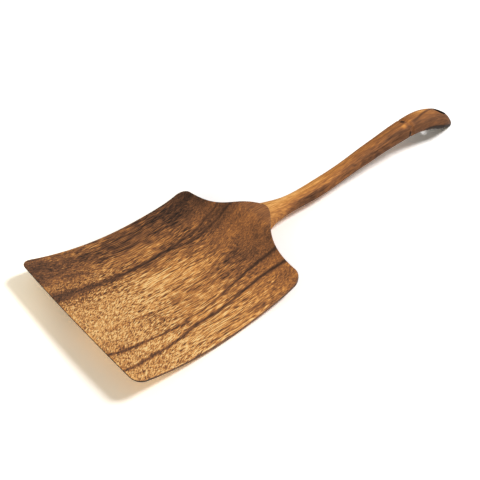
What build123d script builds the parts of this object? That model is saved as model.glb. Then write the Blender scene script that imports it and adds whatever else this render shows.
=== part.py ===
from build123d import *
import os

# A wooden spatula as it lies on a table: a broad, thin, scooped blade, and a long handle
# whose front end is a tongue that runs under the blade's root, let into it and glued.
# +X runs from the blade's front edge to the handle's tip, +Y to the left, +Z up.
# The origin is the centre of the whole outline, on the table.
# A reach is a distance along X from the middle of the blade's front edge.

# Overall
total_length = 355.0
cut_overrun = 5.0

# Blade, seen from above: setbacks are measured forward from its rim, where it meets the handle
blade_length = 151.0
blade_width = 127.5
side_taper = 3.5
shoulder_setback = 23.8
nose_width = 31.6
nose_setback = 10.5
front_bow = 1.2
front_corner_radius = 6.5
shoulder_corner_radius = 8.0
back_edge_shares = [(0.04, 0.50), (0.30, 0.77)]
nose_lead_share = 0.43
nose_fullness_share = 0.30

# Blade, seen from the side: heights above the table, level at the lowest point and at the rim
front_height = 16.2
scoop_reach = 66.7
blade_thickness = 3.9
rim_height = 20.8
root_thickness = 3.8
front_edge_thickness = 1.3
front_rise_shares = [1.0, 0.67, 0.33]
rear_rise_shares = [(0.34, 0.102), (0.718, 0.59), (0.875, 0.985)]

# Blade edges: the underside is relieved towards the two sides
side_edge_thickness = 2.0
side_relief_width = 24.0
edge_radius = 0.5
upright_share = 0.5

# Handle centreline, seen from the side: it ends close over the table, so that the tip rests on it
tongue_length = 51.0
tongue_height = 5.3
neck_height = 13.2
throat_length = 35.0
waist_height = 10.7
crest_setback = 55.0
crest_height = 22.3
tip_height = 0.22
tongue_to_rim_shares = [(0.20, 0.24), (0.40, 0.52), (0.60, 0.79), (0.82, 1.04)]
rim_to_waist_shares = [(0.26, 0.44), (0.54, 0.79)]
waist_to_crest_shares = [(0.254, 0.158), (0.518, 0.52), (0.78, 0.845), (0.912, 0.965)]
crest_to_tip_shares = [(0.22, 0.042), (0.44, 0.17), (0.62, 0.335), (0.788, 0.555), (0.923, 0.825)]

# Handle sections are ovals, square to the centreline
neck_inset = 1.6
neck_thickness = 13.2
waist_width = 13.3
waist_thickness = 10.6
grip_width = 17.2
grip_thickness = 14.5
end_setback = 21.0
end_width = 22.2
end_thickness = 14.7

# Where each section lies along its stretch, and its width and thickness between those of
# the stretch's thinnest and fullest ovals
tongue_section_shares = [
    (0.0, 0.34, 0.30),
    (0.20, 0.55, 0.50),
    (0.40, 0.74, 0.70),
    (0.60, 0.90, 0.86),
    (0.82, 1.0, 1.0),
    (1.0, 0.755, 0.985),
]
throat_section_shares = [(0.26, 0.24, 0.58), (0.54, 0.04, 0.15), (1.0, 0.0, 0.0)]
grip_section_shares = [
    (0.254, 0.02, 0.02),
    (0.52, 0.18, 0.16),
    (0.65, 0.34, 0.32),
    (0.78, 0.57, 0.57),
    (0.91, 0.82, 0.82),
    (1.0, 0.98, 0.98),
]
end_section_shares = [(0.34, 0.42, 0.42), (0.67, 0.80, 0.80), (1.0, 1.0, 1.0)]
tip_section_shares = [
    (0.43, 0.79, 0.69),
    (0.67, 0.57, 0.55),
    (0.81, 0.41, 0.48),
    (0.93, 0.25, 0.25),
    (0.98, 0.12, 0.11),
]

# Ring groove round the grip
groove_setback = 61.0
groove_radius = 3.4
groove_depth = 0.75

# Hanging hole, drilled plumb through the drooping end
hole_setback = 18.4
hole_diameter = 9.8
hole_rim_radius = 0.35

# Worked out from the sizes above
rim_reach = blade_length
shoulder_width = blade_width - 2 * side_taper
shoulder_reach = rim_reach - shoulder_setback
nose_reach = rim_reach - nose_setback
tongue_reach = rim_reach - tongue_length
waist_reach = rim_reach + throat_length
crest_reach = total_length - crest_setback
end_reach = total_length - end_setback
groove_reach = total_length - groove_setback
hole_reach = total_length - hole_setback
under_front_height = front_height - front_edge_thickness
under_rim_height = rim_height - root_thickness
clear_height = rim_height + cut_overrun
point_oval = (0, 0)
neck_oval = (nose_width - 2 * neck_inset, neck_thickness)
waist_oval = (waist_width, waist_thickness)
grip_oval = (grip_width, grip_thickness)
end_oval = (end_width, end_thickness)


def x_at(reach):
    return reach - total_length / 2


def between(low, high, share):
    return low + (high - low) * share


def steps(start, end, shares):
    """Points between two points of a curve."""
    return [(between(start[0], end[0], run), between(start[1], end[1], rise)) for run, rise in shares]


def scoop_lines(front_z, lowest_z, rim_z):
    """One face of the blade from the side: a parabola down to its lowest point, then a rise."""
    lowest = (x_at(scoop_reach), lowest_z)
    rim = (x_at(rim_reach), rim_z)
    start = (x_at(-cut_overrun), between(lowest_z, front_z, (1 + cut_overrun / scoop_reach) ** 2))
    end = (x_at(rim_reach + cut_overrun), rim_z)
    front_points = [
        (x_at(scoop_reach * (1 - share)), between(lowest_z, front_z, share**2))
        for share in front_rise_shares
    ]
    Spline(start, *front_points, lowest, *steps(lowest, rim, rear_rise_shares), rim, end)
    return start, end


def side_face(upper_heights, lower_heights):
    """The space between two such faces, one over the other."""
    upper_ends = scoop_lines(*upper_heights)
    lower_ends = scoop_lines(*lower_heights)
    Line(upper_ends[0], lower_ends[0])
    Line(upper_ends[1], lower_ends[1])


def outline_lines():
    """The blade from above, with a bowed front edge and a rounded nose at the rim."""
    half_front = blade_width / 2
    ThreePointArc((x_at(front_bow), half_front), (x_at(0), 0), (x_at(front_bow), -half_front))
    for side in (1, -1):
        shoulder = Vector(x_at(shoulder_reach), side * shoulder_width / 2)
        nose = Vector(x_at(nose_reach), side * nose_width / 2)
        guides = [Vector(*guide) for guide in steps(tuple(shoulder), tuple(nose), back_edge_shares)]
        lead = nose + (nose - guides[-1]) * nose_lead_share
        fullness = Vector(x_at(rim_reach), nose.Y * nose_fullness_share)
        Line((x_at(front_bow), side * half_front), shoulder)
        Bezier(shoulder, *guides, nose)
        Bezier(nose, lead, fullness, (x_at(rim_reach), 0))


def rims(side):
    """Edges where the blade's upright walls meet its upper faces, side 1, or lower, side -1."""
    faces = blade.faces()
    walls = faces.filter_by(lambda face: abs(face.normal_at().Z) < upright_share)
    level = faces.filter_by(lambda face: side * face.normal_at().Z > upright_share)
    return (level.edges() & walls.edges()).sort_by(Axis.X)


# Heights of a face at the front, the lowest point and the rim
upper_face_heights = (front_height, blade_thickness, rim_height)
under_face_heights = (under_front_height, 0, under_rim_height)
side_face_heights = (
    under_front_height,
    blade_thickness - side_edge_thickness,
    rim_height - side_edge_thickness,
)
high_face_heights = [height + clear_height for height in upper_face_heights]
deep_face_heights = [height - clear_height for height in under_face_heights]

# Outline of the blade from above
with BuildSketch(Plane.XY) as outline:
    with BuildLine():
        outline_lines()
    make_face()
    fillet(outline.vertices().sort_by(Axis.X)[2:4], radius=shoulder_corner_radius)
    fillet(outline.vertices().sort_by(Axis.X)[:2], radius=front_corner_radius)

# Relief: what is cut from the underside beside the right edge of the blade
with BuildPart() as relief:
    with BuildSketch(Plane.XZ.offset(blade_width / 2 - side_relief_width)):
        with BuildLine():
            side_face(under_face_heights, deep_face_heights)
        make_face()
    with BuildSketch(Plane.XZ.offset(blade_width / 2)):
        with BuildLine():
            side_face(side_face_heights, deep_face_heights)
        make_face()
    loft(ruled=True)

# Blade: its side view, cut to the outline, thinned at both sides and softened all round
with BuildPart() as blade:
    with BuildSketch(Plane.XZ.offset(-blade_width)):
        with BuildLine():
            side_face(upper_face_heights, under_face_heights)
        make_face()
    extrude(amount=2 * blade_width)
    extrude(outline.sketch, amount=clear_height, mode=Mode.INTERSECT)
    add(relief.part, mode=Mode.SUBTRACT)
    add(mirror(relief.part, about=Plane.XZ, mode=Mode.PRIVATE), mode=Mode.SUBTRACT)
    fillet(rims(1), radius=edge_radius)
    fillet(rims(-1), radius=edge_radius)

# Seat of the blade in the handle: all that lies above its underside, within its outline
with BuildPart() as seat:
    with BuildSketch(Plane.XZ):
        with BuildLine():
            side_face(high_face_heights, under_face_heights)
        make_face()
    extrude(amount=blade_width, both=True)
    extrude(outline.sketch, amount=2 * clear_height, mode=Mode.INTERSECT)

# Handle centreline, from the front of the tongue to the tip
tongue_end = (x_at(tongue_reach), tongue_height)
at_rim = (x_at(rim_reach), neck_height)
waist = (x_at(waist_reach), waist_height)
crest = (x_at(crest_reach), crest_height)
tip = (x_at(total_length), tip_height)
with BuildLine(Plane.XZ) as centreline:
    Spline(
        tongue_end,
        *steps(tongue_end, at_rim, tongue_to_rim_shares),
        at_rim,
        *steps(at_rim, waist, rim_to_waist_shares),
        waist,
        *steps(waist, crest, waist_to_crest_shares),
        crest,
        *steps(crest, tip, crest_to_tip_shares),
        tip,
    )
spine = centreline.edge()


def place_at(reach):
    """How far along the centreline, from 0 to 1, a reach lies, found by halving."""
    low, high = 0.0, 1.0
    for _ in range(24):
        middle = (low + high) / 2
        if (spine @ middle).X < x_at(reach):
            low = middle
        else:
            high = middle
    return low


def plane_across(place):
    """The plane square to the centreline, its x axis level."""
    return Plane(origin=spine @ place, x_dir=(0, 1, 0), z_dir=spine % place)


def ovals(start, end, thinnest, fullest, shares):
    """Places along one stretch of the centreline, each with its oval's width and thickness."""
    return [
        (
            place_at(between(start, end, run)),
            between(thinnest[0], fullest[0], breadth),
            between(thinnest[1], fullest[1], depth),
        )
        for run, breadth, depth in shares
    ]


handle_ovals = [
    *ovals(tongue_reach, rim_reach, point_oval, neck_oval, tongue_section_shares),
    *ovals(rim_reach, waist_reach, waist_oval, neck_oval, throat_section_shares),
    *ovals(waist_reach, crest_reach, waist_oval, grip_oval, grip_section_shares),
    *ovals(crest_reach, end_reach, grip_oval, end_oval, end_section_shares),
    *ovals(end_reach, total_length, point_oval, end_oval, tip_section_shares),
]

# Handle
with BuildPart() as handle:
    for place, width, thickness in handle_ovals:
        with BuildSketch(plane_across(place)):
            Ellipse(width / 2, thickness / 2)
    loft()
    add(seat.part, mode=Mode.SUBTRACT)

    # Ring groove: a round tool run round the grip, square to the centreline
    groove_plane = plane_across(place_at(groove_reach))
    girth_face = section(handle.part, section_by=groove_plane, mode=Mode.PRIVATE).face()
    girth = groove_plane.to_local_coords(girth_face).bounding_box().size
    standoff = groove_radius - groove_depth
    ring_halves = [
        Edge.make_ellipse(
            girth.X / 2 + standoff,
            girth.Y / 2 + standoff,
            plane=groove_plane,
            start_angle=start,
            end_angle=start + 180,
        )
        for start in (0, 180)
    ]
    ring = Wire(ring_halves)
    with BuildSketch(Plane(origin=ring @ 0, z_dir=ring % 0)):
        Circle(groove_radius)
    sweep(path=ring, mode=Mode.SUBTRACT)

    # Hanging hole, both rims rounded
    with BuildSketch(Plane(origin=spine @ place_at(hole_reach))):
        Circle(hole_diameter / 2)
    extrude(amount=end_width, both=True, mode=Mode.SUBTRACT)
    bore = handle.faces().filter_by(GeomType.CYLINDER)
    fillet(bore.edges().filter_by(lambda edge: edge.length > hole_diameter), radius=hole_rim_radius)

os.makedirs("parts", exist_ok=True)
blade.part.label = "blade"
export_step(blade.part, "parts/blade.step")
handle.part.label = "handle"
export_step(handle.part, "parts/handle.step")
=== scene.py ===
import math
import bpy
import bmesh
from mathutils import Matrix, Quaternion, Vector

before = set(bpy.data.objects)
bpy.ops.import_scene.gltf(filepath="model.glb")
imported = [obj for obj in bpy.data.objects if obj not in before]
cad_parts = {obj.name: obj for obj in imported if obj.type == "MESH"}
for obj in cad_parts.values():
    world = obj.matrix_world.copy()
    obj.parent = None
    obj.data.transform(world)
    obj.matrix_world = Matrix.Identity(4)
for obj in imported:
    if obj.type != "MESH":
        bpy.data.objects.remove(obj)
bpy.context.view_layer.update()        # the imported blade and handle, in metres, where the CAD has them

print("frame loaded, nodes:", ", ".join(sorted(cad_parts)))


# sRGB hex to the linear colour that a shader wants
def linear(hexColour):
    parts = [int(hexColour[i:i + 2], 16) / 255 for i in (1, 3, 5)]
    return tuple(c / 12.92 if c <= 0.04045 else ((c + 0.055) / 1.055) ** 2.4 for c in parts) + (1.0,)


# adds one node: its settings, its inputs (a node, a socket or a plain value), the points of its ramp or curve
def addNode(tree, kind, inputs=None, points=None, **settings):
    node = tree.nodes.new("ShaderNode" + kind)
    for name, value in settings.items():
        setattr(node, name, value)
    for name, value in (inputs or {}).items():
        if isinstance(value, bpy.types.Node):
            value = next(s for s in value.outputs if s.enabled)
        if isinstance(value, bpy.types.NodeSocket):
            tree.links.new(value, node.inputs[name])
        else:
            node.inputs[name].default_value = value
    if kind == "ValToRGB":
        stops = node.color_ramp.elements
        stops.remove(stops[1])
        stops[0].position, stops[0].color = points[0][0], linear(points[0][1])
        for at, colour in points[1:]:
            stops.new(at).color = linear(colour)
    if kind == "FloatCurve":
        curve = node.mapping.curves[0]
        curve.points[0].location, curve.points[1].location = points[0], points[-1]
        for at in points[1:-1]:
            curve.points.new(*at)
        node.mapping.update()
    return node


def newMaterial(name):
    material = bpy.data.materials.new(name)
    material.use_nodes = True
    material.node_tree.nodes.clear()
    return material, material.node_tree


# camera, where the photograph was taken from
cameraLook = {
    "target": (-0.04736, 0.00273, 0.0),
    "azimuth": -40.736,
    "elevation": 40.414,
    "roll": -0.223,
    "distance": 0.50018,
    "sensor": 36,            # mm
    "lens": 55.44,           # mm, 739 px of focal length in a picture 480 px wide
    "clipStart": 0.02,
}


def makeCamera(look):
    turn, lift = math.radians(look["azimuth"]), math.radians(look["elevation"])
    back = Vector((math.sin(turn) * math.cos(lift), -math.cos(turn) * math.cos(lift), math.sin(lift)))
    level = (-back).to_track_quat("-Z", "Y")
    data = bpy.data.cameras.new("camera")
    data.sensor_width = look["sensor"]
    data.lens = look["lens"]
    data.clip_start = look["clipStart"]
    camera = bpy.data.objects.new("camera", data)
    camera.location = Vector(look["target"]) + back * look["distance"]
    camera.rotation_mode = "QUATERNION"
    camera.rotation_quaternion = level @ Quaternion((0, 0, 1), math.radians(look["roll"]))
    bpy.context.scene.collection.objects.link(camera)
    bpy.context.scene.camera = camera


makeCamera(cameraLook)
print("camera set")


# a key from beyond the blade's right, a low warm window in front of the blade, and a white room; together they
# bring an upward face to a level of 1
lightLook = {
    "lamps": {               # m and W; the size sets how soft a shadow's edge is
        "key": {
            "from": (0.60, -0.52, 1.0), "away": 1.2, "size": 0.32, "power": 10.6, "colour": "#FFFDFA",
        },
        "window": {
            "from": (-1.0, -0.12, 0.36), "away": 1.2, "size": 0.8, "power": 7.0, "colour": "#FFE9B2",
        },
    },
    "roomColour": "#F6F4F2",
    "roomLevel": 0.27,
}


def makeLights(look):
    for name, lamp in look["lamps"].items():
        data = bpy.data.lights.new(name, "AREA")
        data.shape = "DISK"
        data.size = lamp["size"]
        data.energy = lamp["power"]
        data.color = linear(lamp["colour"])[:3]
        light = bpy.data.objects.new(name, data)
        way = Vector(lamp["from"]).normalized()
        light.location = way * lamp["away"]
        light.rotation_mode = "QUATERNION"
        light.rotation_quaternion = (-way).to_track_quat("-Z", "Y")
        light.visible_camera = False
        bpy.context.scene.collection.objects.link(light)

    room = bpy.data.worlds.new("whiteRoom")
    bpy.context.scene.world = room
    room.use_nodes = True
    tree = room.node_tree
    tree.nodes.clear()
    rays = addNode(tree, "LightPath")
    dim = addNode(tree, "Background", {"Color": linear(look["roomColour"]), "Strength": look["roomLevel"]})
    white = addNode(tree, "Background", {"Color": (1, 1, 1, 1), "Strength": 1.0})
    either = addNode(tree, "MixShader", {0: rays.outputs["Is Camera Ray"], 1: dim, 2: white})
    addNode(tree, "OutputWorld", {"Surface": either})


makeLights(lightLook)
bpy.context.scene.view_settings.view_transform = "Standard"
print("lights set")


# floor: matt white paper that keeps the object's shadow; camera and glossy rays see it paler, so that it clips
# to white wherever it is lit
floorLook = {
    "size": 1.3,             # m; the white room takes over where the lamps get weak
    "paper": "#E8E4E0",
    "near": "#C0C4CA",       # the paleness added for those rays near the piece, and farther out
    "far": "#FFFFFF",
    # paler farther from this middle: painted light on the floor that lightens the far end of the blade's shadow
    "middle": (0.06, -0.12, 0.0),
    "fade": (0.266, 0.298),  # m from that middle
}


def makeFloor(look):
    mesh = bpy.data.meshes.new("floor")
    bm = bmesh.new()
    bmesh.ops.create_grid(bm, x_segments=1, y_segments=1, size=look["size"] / 2)
    bm.to_mesh(mesh)
    bm.free()
    floor = bpy.data.objects.new("floor", mesh)
    bpy.context.scene.collection.objects.link(floor)

    material, tree = newMaterial("whitePaper")
    rays = addNode(tree, "LightPath")
    camera, glossy = rays.outputs["Is Camera Ray"], rays.outputs["Is Glossy Ray"]
    seen = addNode(tree, "Math", {0: camera, 1: glossy}, operation="MAXIMUM")
    coords = addNode(tree, "TexCoord")
    away = addNode(tree, "VectorMath", {0: coords.outputs["Object"], 1: look["middle"]}, operation="DISTANCE")
    start, end = look["fade"]
    fade = addNode(
        tree, "MapRange", {"Value": away.outputs["Value"], "From Min": start, "From Max": end},
        interpolation_type="SMOOTHSTEP",
    )
    ends = {"A": linear(look["near"]), "B": linear(look["far"])}
    paleness = addNode(tree, "Mix", {"Factor": fade, **ends}, data_type="RGBA")
    added = addNode(tree, "Mix", {"Factor": seen, "A": (0, 0, 0, 1), "B": paleness}, data_type="RGBA")
    paper = addNode(tree, "BsdfDiffuse", {"Color": linear(look["paper"])})
    pale = addNode(tree, "BsdfDiffuse", {"Color": added})
    both = addNode(tree, "AddShader", {0: paper, 1: pale})
    addNode(tree, "OutputMaterial", {"Surface": both})
    mesh.materials.append(material)


makeFloor(floorLook)
print("floor set")


# oiled acacia, sawn from one plank, sanded and rubbed with oil: warm brown heartwood with dark growth lines,
# short ripple marks with a painted sheen, edges darker from end grain and painted shade, and a soft sheen
acacia = {
    "ramp": [
        (0.0, "#190E07"), (0.16, "#452B1B"), (0.32, "#704A30"), (0.48, "#9D663B"), (0.64, "#CC8B49"),
        (0.8, "#F8BA6E"), (1.0, "#FFDC9C"),
    ],
    "rampShare": 0.8,        # the ramp's stops lie at 0.8 of the tones below, so that bright flecks don't clip
    "ior": 1.47,             # linseed oil
    "pores": 0.0002,         # m, how deep the open pores are
    "relief": 0.5,
    "grain": (0.3, 0.7),     # nearly all of a grain noise lies between these
}

# the figure is drawn in mm: station is measured from the blade's front edge, across to the left
woodFrame = {
    "perMetre": 1000,
    "frontEdge": 177.5,      # how far the front edge lies before the origin
    "reach": 360,            # length that the curves along the piece are drawn over
    "widest": 20,            # top of the curves that give a width
}


# a curve along the piece, from its points in mm, drawn up to a top value
def addAlong(tree, station, points, top=1):
    reach = woodFrame["reach"]
    share = addNode(tree, "Math", {0: station, 1: reach}, operation="DIVIDE")
    curve = addNode(tree, "FloatCurve", {"Value": share}, [(s / reach, v / top) for s, v in points])
    return addNode(tree, "Math", {0: curve, 1: top}, operation="MULTIPLY")


# a curve across the piece, from its points in mm
def addAcross(tree, across, points, span):
    share = addNode(tree, "MapRange", {"Value": across, "From Min": -span / 2, "From Max": span / 2})
    return addNode(tree, "FloatCurve", {"Value": share}, [(y / span + 0.5, v) for y, v in points])


# one dark growth line: its path along the piece, and its width and darkness along it
def addVein(tree, station, across, vein, span):
    path = addAlong(tree, station, [(s, y + span / 2) for s, y in vein["path"]], span)
    line = addNode(tree, "Math", {0: path, 1: span / 2}, operation="SUBTRACT")
    off = addNode(tree, "Math", {0: across, 1: line}, operation="SUBTRACT")
    away = addNode(tree, "Math", {0: off}, operation="ABSOLUTE")
    width = addAlong(tree, station, vein["width"], woodFrame["widest"])
    fade = {"From Min": 0.0, "From Max": width, "To Min": 1.0, "To Max": 0.0}
    near = addNode(tree, "MapRange", {"Value": away, **fade}, interpolation_type="SMOOTHSTEP")
    taken = addNode(tree, "Math", {0: near, 1: addAlong(tree, station, vein["dark"])}, operation="MULTIPLY")
    return addNode(tree, "Math", {0: 1.0, 1: taken}, operation="SUBTRACT")


# one lighter or darker cloud in the figure, an ellipse that fades out
def addCloud(tree, place, cloud):
    (x, y), (rx, ry) = cloud["at"], cloud["radii"]
    local = addNode(tree, "Mapping", {
        "Vector": place, "Location": (-x / rx, -y / ry, 0.0), "Scale": (1 / rx, 1 / ry, 0.0),
    })
    far = addNode(tree, "VectorMath", {0: local}, operation="LENGTH").outputs["Value"]
    fade = {"From Min": 0.0, "From Max": 1.0, "To Min": cloud["lift"], "To Max": 0.0}
    return addNode(tree, "MapRange", {"Value": far, **fade}, interpolation_type="SMOOTHSTEP")


# one set of marks drawn out along the grain: how long and wide they are, how far they swing the tone, and where
def addMarks(tree, place, station, marks):
    thin = 1 / marks["wide"]
    drawn = addNode(tree, "Mapping", {"Vector": place, "Scale": (1 / marks["long"], thin, thin)})
    noise = addNode(
        tree, "TexNoise", {"Vector": drawn, "Scale": 1.0, "Detail": marks["detail"], "Roughness": 0.5},
        noise_dimensions="3D",
    )
    low, high = acacia["grain"]
    swing = addNode(tree, "MapRange", {
        "Value": noise, "From Min": low, "From Max": high, "To Min": -marks["swing"], "To Max": marks["swing"],
    })
    shown = addNode(tree, "Math", {0: swing, 1: addAlong(tree, station, marks["where"])}, operation="MULTIPLY")
    return noise, shown


# the tone of the wood before its growth lines: bands across, a drift along, clouds and marks
def addFigure(tree, look, station, across, cloudPlace, markPlace):
    bands = addAcross(tree, across, look["bands"], look["span"])
    base = addNode(tree, "Math", {0: bands, 1: look["bandShift"]}, operation="ADD")
    tone = addNode(tree, "Math", {0: base, 1: addAlong(tree, station, look["along"])}, operation="ADD")
    for cloud in look["clouds"]:
        tone = addNode(tree, "Math", {0: tone, 1: addCloud(tree, cloudPlace, cloud)}, operation="ADD")
    for marks in look["marks"]:
        grain, shown = addMarks(tree, markPlace, station, marks)
        tone = addNode(tree, "Math", {0: tone, 1: shown}, operation="ADD")
    return tone, grain


# darkens a tone by the growth lines of a piece
def addVeins(tree, look, tone, station, across):
    for vein in look["veins"]:
        kept = addVein(tree, station, across, vein, look["span"])
        tone = addNode(tree, "Math", {0: tone, 1: kept}, operation="MULTIPLY")
    return tone


# the oiled surface: the tone as a colour, and the open pores as fine relief
def oilWood(tree, look, tone, grain):
    scaled = addNode(tree, "Math", {0: tone, 1: acacia["rampShare"]}, operation="MULTIPLY")
    colour = addNode(tree, "ValToRGB", {0: scaled}, acacia["ramp"])
    relief = addNode(tree, "Bump", {"Height": grain, "Strength": acacia["relief"], "Distance": acacia["pores"]})
    wood = addNode(tree, "BsdfPrincipled", {
        "Base Color": colour.outputs["Color"],
        "Roughness": look["roughness"],
        "IOR": acacia["ior"],
        "Specular IOR Level": look["specular"],
        "Normal": relief,
    })
    addNode(tree, "OutputMaterial", {"Surface": wood})


# the blade: golden with dark lines, browner to its left and towards the root, partly as painted shade
bladeLook = {
    "span": 140,             # width that the lines across are drawn over
    "bands": [
        (-70, 0.76), (-50, 0.75), (-40, 0.73), (-30, 0.69), (-15, 0.71), (-4, 0.79), (6, 0.73), (15, 0.55),
        (22, 0.48), (29, 0.56), (36, 0.46), (43, 0.35), (50, 0.30), (58, 0.35), (70, 0.42),
    ],
    "bandShift": -0.1,
    "along": [
        (0, 0.14), (12, 0.16), (30, 0.20), (50, 0.18), (70, 0.15), (90, 0.07), (110, 0.02), (130, 0), (360, 0),
    ],
    "marks": [
        {"long": 55, "wide": 4.5, "swing": 0.10, "detail": 2, "where": [(0, 1), (360, 1)]},
        {
            "long": 24, "wide": 1.0, "swing": 0.17, "detail": 2,
            "where": [(0, 0.7), (30, 1), (90, 1), (125, 0.45), (360, 0.4)],
        },
        {
            "long": 30, "wide": 0.6, "swing": 0.18, "detail": 1,
            "where": [(0, 0.6), (40, 1), (110, 1), (130, 0.6), (360, 0.6)],
        },
        {
            "long": 9, "wide": 0.55, "swing": 0.30, "detail": 1,
            "where": [(0, 0.2), (25, 0.4), (48, 1), (85, 1), (110, 0.35), (130, 0.15), (360, 0.15)],
        },
    ],
    # how far the ripple marks have climbed at each station: steep at the front edge, level by mid-blade
    "climb": [(0, 0), (10, 9), (20, 17), (40, 27.5), (60, 32), (90, 33), (360, 36)],
    "climbTop": 40,
    "ripple": {
        "long": 4.0, "wide": 0.55, "swing": 0.41, "detail": 1,
        "where": [(0, 0.95), (40, 1.0), (60, 0.7), (90, 0.4), (115, 0.26), (130, 0.18), (360, 0.18)],
    },
    "rippled": [(-70, 1), (26, 1), (38, 0.4), (70, 0.3)],         # and how strongly, across
    "fray": {"long": 30, "wide": 8, "aside": 1.3, "noise": (0.2, 0.8)},  # the slow drift that frays the lines
    "veins": [
        {                    # the broad line left of the middle
            "path": [(0, 20), (30, 21.5), (60, 22.3), (85, 22.0), (105, 23.5), (125, 27), (360, 27)],
            "width": [(0, 7.0), (45, 4.0), (70, 2.6), (105, 1.8), (360, 1.8)],
            "dark": [(0, 0.50), (30, 0.50), (65, 0.72), (85, 0.50), (115, 0.40), (360, 0.1)],
        },
        {                    # its branch at the back
            "path": [(0, 16), (70, 19), (85, 20), (105, 18), (125, 19), (360, 18)],
            "width": [(0, 3), (85, 3), (125, 2.2), (360, 2)],
            "dark": [(0, 0), (70, 0.05), (90, 0.30), (125, 0.45), (360, 0.3)],
        },
        {                    # the inner of the two lines on the right
            "path": [(0, -37), (35, -37.5), (60, -36), (90, -32.5), (115, -29.5), (130, -31.5), (360, -33)],
            "width": [(0, 1.8), (60, 1.4), (100, 1.8), (130, 2.6), (360, 2.6)],
            "dark": [(0, 0.55), (35, 0.60), (60, 0.42), (100, 0.60), (130, 0.65), (360, 0.6)],
        },
        {                    # the outer one
            "path": [
                (0, -52), (25, -48.5), (48, -43.5), (57, -41.5), (80, -41.3), (100, -40), (115, -40),
                (130, -43.5), (360, -46),
            ],
            "width": [(0, 1.8), (50, 2.2), (80, 1.6), (130, 2.8), (360, 2.8)],
            "dark": [(0, 0.60), (30, 0.52), (56, 0.60), (80, 0.62), (130, 0.75), (360, 0.7)],
        },
        {                    # a faint one between them and the middle
            "path": [(0, -19), (20, -18), (60, -18.5), (100, -16), (360, -14)],
            "width": [(0, 2), (60, 2.2), (360, 2)],
            "dark": [(0, 0), (20, 0.14), (50, 0.22), (80, 0.14), (100, 0), (360, 0)],
        },
    ],
    "clouds": [
        {"at": (72, 6), "radii": (30, 10), "lift": 0.17},         # golden patch in the middle, partly painted light
        {"at": (8, -20), "radii": (30, 15), "lift": 0.18},        # pale wood at the front edge
        {"at": (30, -33), "radii": (26, 8), "lift": 0.10},
        {"at": (52, 57), "radii": (40, 6), "lift": 0.06},         # lighter streak along the left side
        {"at": (75, -38), "radii": (30, 3.5), "lift": 0.10},      # pale wood by the two lines on the right
        {"at": (60, -50), "radii": (34, 7), "lift": 0.08},
        {"at": (118, -12), "radii": (46, 38), "lift": -0.20},     # the brown root, partly painted shade
        {"at": (110, -13), "radii": (15, 7), "lift": -0.10},
        {"at": (57, -40), "radii": (7, 3), "lift": -0.18},        # where the two lines meet
        {"at": (50, -28), "radii": (16, 5), "lift": -0.12},
        {"at": (118, -55), "radii": (22, 16), "lift": -0.09},     # the right shoulder
    ],
    "edge": [(0, 0.06), (5, 0.06), (14, 0.36), (360, 0.36)],      # share of its tone that an upright edge keeps; the rest is end grain and painted shade
    "edgeNormal": (0.6, 0.9),                                     # how level the wood is where that ends
    "roughness": 0.6,
    "specular": 0.5,
}


def makeBladeWood(look):
    material, tree = newMaterial("oiledAcacia")
    coords = addNode(tree, "TexCoord")
    place = addNode(tree, "Mapping", {
        "Vector": coords.outputs["Object"],
        "Location": (woodFrame["frontEdge"], 0, 0),
        "Scale": (woodFrame["perMetre"],) * 3,
    })

    fray = look["fray"]
    drift = addNode(tree, "Mapping", {
        "Vector": place, "Scale": (1 / fray["long"], 1 / fray["wide"], 1 / fray["wide"]),
    })
    wander = addNode(
        tree, "TexNoise", {"Vector": drift, "Scale": 1.0, "Detail": 2.0, "Roughness": 0.5},
        noise_dimensions="3D",
    )
    low, high = fray["noise"]
    aside = addNode(tree, "MapRange", {
        "Value": wander, "From Min": low, "From Max": high, "To Min": -fray["aside"], "To Max": fray["aside"],
    })
    move = addNode(tree, "CombineXYZ", {"Y": aside})
    frayed = addNode(tree, "VectorMath", {0: place, 1: move}, operation="ADD")
    axes = addNode(tree, "SeparateXYZ", {0: frayed})
    station, across, height = axes.outputs["X"], axes.outputs["Y"], axes.outputs["Z"]
    tone = addFigure(tree, look, station, across, frayed, frayed)[0]

    # the ripple marks follow lines that climb to the left; they are partly real figure, partly a painted sheen
    climbed = addAlong(tree, station, look["climb"], look["climbTop"])
    level = addNode(tree, "Math", {0: across, 1: climbed}, operation="SUBTRACT")
    lain = addNode(tree, "CombineXYZ", {"X": station, "Y": level, "Z": height})
    ripple, mark = addMarks(tree, lain, station, look["ripple"])
    strength = addAcross(tree, across, look["rippled"], look["span"])
    shown = addNode(tree, "Math", {0: mark, 1: strength}, operation="MULTIPLY")
    tone = addNode(tree, "Math", {0: tone, 1: shown}, operation="ADD")
    tone = addVeins(tree, look, tone, station, across)

    # the upright edges are darker, the front one most: partly end grain that drinks more oil, partly painted
    # shade
    facing = addNode(tree, "NewGeometry")
    up = addNode(tree, "SeparateXYZ", {0: facing.outputs["Normal"]})
    lying = addNode(tree, "Math", {0: up.outputs["Z"]}, operation="ABSOLUTE")
    steep, flat = look["edgeNormal"]
    edge = addNode(tree, "MapRange", {
        "Value": lying, "From Min": steep, "From Max": flat, "To Min": addAlong(tree, station, look["edge"]),
        "To Max": 1.0,
    })
    tone = addNode(tree, "Math", {0: tone, 1: edge}, operation="MULTIPLY")
    oilWood(tree, look, tone, ripple)
    return material
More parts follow.
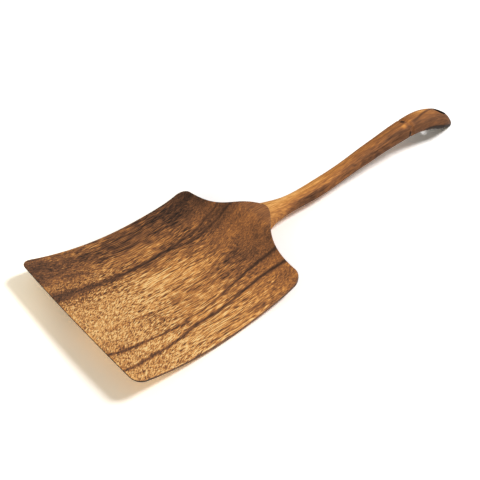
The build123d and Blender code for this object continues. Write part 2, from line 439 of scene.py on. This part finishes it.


# the handle is cut from the same plank: pale and rippled at the neck, partly painted light there, redder and
# darker along the grip, and darker on its right flank, partly painted shade
handleLook = {
    "span": 24,              # width that the lines across are drawn over
    "drawnHalf": 10.0,       # they are drawn as if the handle were 20 mm wide all along
    "halfWidth": [           # what it is at each station
        (0, 14), (150, 14), (158, 12.5), (170, 8.5), (186, 6.7), (230, 6.9), (260, 7.8), (300, 8.7),
        (334, 11.1), (360, 11.1),
    ],
    # darker towards the right (-y) flank: partly the wood, partly painted shade where that flank turns down
    "bands": [
        (-12, 0.31), (-8.5, 0.29), (-6.5, 0.32), (-4, 0.44), (-1, 0.50), (3, 0.52), (8, 0.53), (12, 0.50),
    ],
    "bandShift": -0.5,
    # pale at the neck, partly painted light where the neck faces up to the key
    "along": [
        (0, 0.88), (150, 0.88), (165, 0.88), (185, 0.84), (205, 0.77), (235, 0.61), (290, 0.60), (320, 0.60),
        (345, 0.52), (360, 0.48),
    ],
    "marks": [
        {"long": 50, "wide": 3.5, "swing": 0.06, "detail": 2, "where": [(0, 1), (360, 1)]},
        {
            "long": 20, "wide": 0.9, "swing": 0.09, "detail": 2,
            "where": [(0, 0.4), (165, 0.5), (190, 1), (360, 1)],
        },
        {
            "long": 5.5, "wide": 0.6, "swing": 0.10, "detail": 1,
            "where": [(0, 1), (260, 1), (290, 0.5), (360, 0.6)],
        },
    ],
    "run": (1.0, 1.0, 0.3),  # flattens the height, so that the marks follow the handle's slopes
    "veins": [
        {                    # the line over the drooping end
            "path": [(0, -3), (296, -4.5), (312, -1.5), (330, 2.5), (345, 4), (360, 5)],
            "width": [(0, 1.6), (300, 1.8), (360, 1.8)],
            "dark": [(0, 0), (292, 0), (302, 0.42), (325, 0.48), (345, 0.1), (360, 0)],
        },
    ],
    "clouds": [
        {"at": (186, -9), "radii": (42, 5.2), "lift": -0.29},     # painted shade on the neck's right flank
        {"at": (208, -7), "radii": (17, 5), "lift": 0.13},
        {"at": (288.5, -4.5), "radii": (4, 4), "lift": 0.26},     # painted light on the groove's walls that face the key
        {"at": (296, -4), "radii": (3.5, 7), "lift": 0.14},
        {"at": (291.5, 1), "radii": (3.2, 3.5), "lift": -0.55},   # painted shade in the groove's nicks at the flanks
        {"at": (292, -10), "radii": (2.8, 1.3), "lift": -0.55},
        {"at": (318, 2), "radii": (22, 6.5), "lift": 0.21},       # paler back of the end
        {"at": (310, -5.5), "radii": (9, 2), "lift": 0.12},
        {"at": (352, -4), "radii": (14, 14), "lift": -0.12},      # painted shade at the tip, near the table
    ],
    # the drilled hole, and how far out from its radius the painted shade of its wall fades
    "bore": {"middle": (159.1, 0.0, 14.692), "axis": (0.0, 0.0, 1.0), "radius": 4.9, "fade": (0.5, 1.3)},
    "under": [(0, 1), (304, 1), (316, 0), (360, 0)],  # where the underside isn't painted dark as shade
    "underNormal": (-0.24, -0.05),                    # how far the wood faces down where that begins and ends
    "underShadeTone": 0.1,
    "roughness": 0.72,       # worn duller than the blade by the hand
    "specular": 0.2,
}


def makeHandleWood(look):
    material, tree = newMaterial("oiledAcaciaHandle")
    coords = addNode(tree, "TexCoord")
    inMm = addNode(
        tree, "VectorMath", {0: coords.outputs["Object"], "Scale": woodFrame["perMetre"]}, operation="SCALE",
    )
    place = addNode(tree, "VectorMath", {0: inMm, 1: (woodFrame["frontEdge"], 0, 0)}, operation="ADD")
    axes = addNode(tree, "SeparateXYZ", {0: place})
    station = axes.outputs["X"]
    half = addAlong(tree, station, look["halfWidth"], woodFrame["widest"])
    swell = addNode(tree, "Math", {0: look["drawnHalf"], 1: half}, operation="DIVIDE")
    across = addNode(tree, "Math", {0: axes.outputs["Y"], 1: swell}, operation="MULTIPLY")
    flat = addNode(tree, "CombineXYZ", {"X": station, "Y": across, "Z": axes.outputs["Z"]})
    run = addNode(tree, "VectorMath", {0: place, 1: look["run"]}, operation="MULTIPLY")
    tone, grain = addFigure(tree, look, station, across, flat, run)
    tone = addVeins(tree, look, tone, station, across)

    # painted shade: the drilled hole's wall is painted black, as the shade inside the hole, fading out past its
    # rim
    bore = look["bore"]
    inBore = addNode(tree, "VectorMath", {0: inMm, 1: bore["middle"]}, operation="SUBTRACT")
    out = addNode(tree, "VectorMath", {0: inBore, 1: bore["axis"]}, operation="CROSS_PRODUCT")
    away = addNode(tree, "VectorMath", {0: out}, operation="LENGTH").outputs["Value"]
    start, end = bore["fade"]
    boreShade = addNode(tree, "MapRange", {
        "Value": away, "From Min": bore["radius"] + start, "From Max": bore["radius"] + end, "To Min": 0.0,
        "To Max": 1.0,
    })
    tone = addNode(tree, "Math", {0: tone, 1: boreShade}, operation="MULTIPLY")

    # painted shade: the underside of the drooping end is painted dark, as it faces down away from the light
    facing = addNode(tree, "NewGeometry")
    up = addNode(tree, "SeparateXYZ", {0: facing.outputs["Normal"]})
    down, level = look["underNormal"]
    under = addNode(tree, "MapRange", {
        "Value": up.outputs["Z"], "From Min": down, "From Max": level, "To Min": look["underShadeTone"],
        "To Max": 1.0,
    })
    spared = addAlong(tree, station, look["under"])
    kept = addNode(tree, "Math", {0: under, 1: spared}, operation="ADD", use_clamp=True)
    tone = addNode(tree, "Math", {0: tone, 1: kept}, operation="MULTIPLY")
    oilWood(tree, look, tone, grain)
    return material


for node, material in (("blade", makeBladeWood(bladeLook)), ("handle", makeHandleWood(handleLook))):
    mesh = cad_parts[node].data
    mesh.materials.clear()
    mesh.materials.append(material)
print("wood finished")
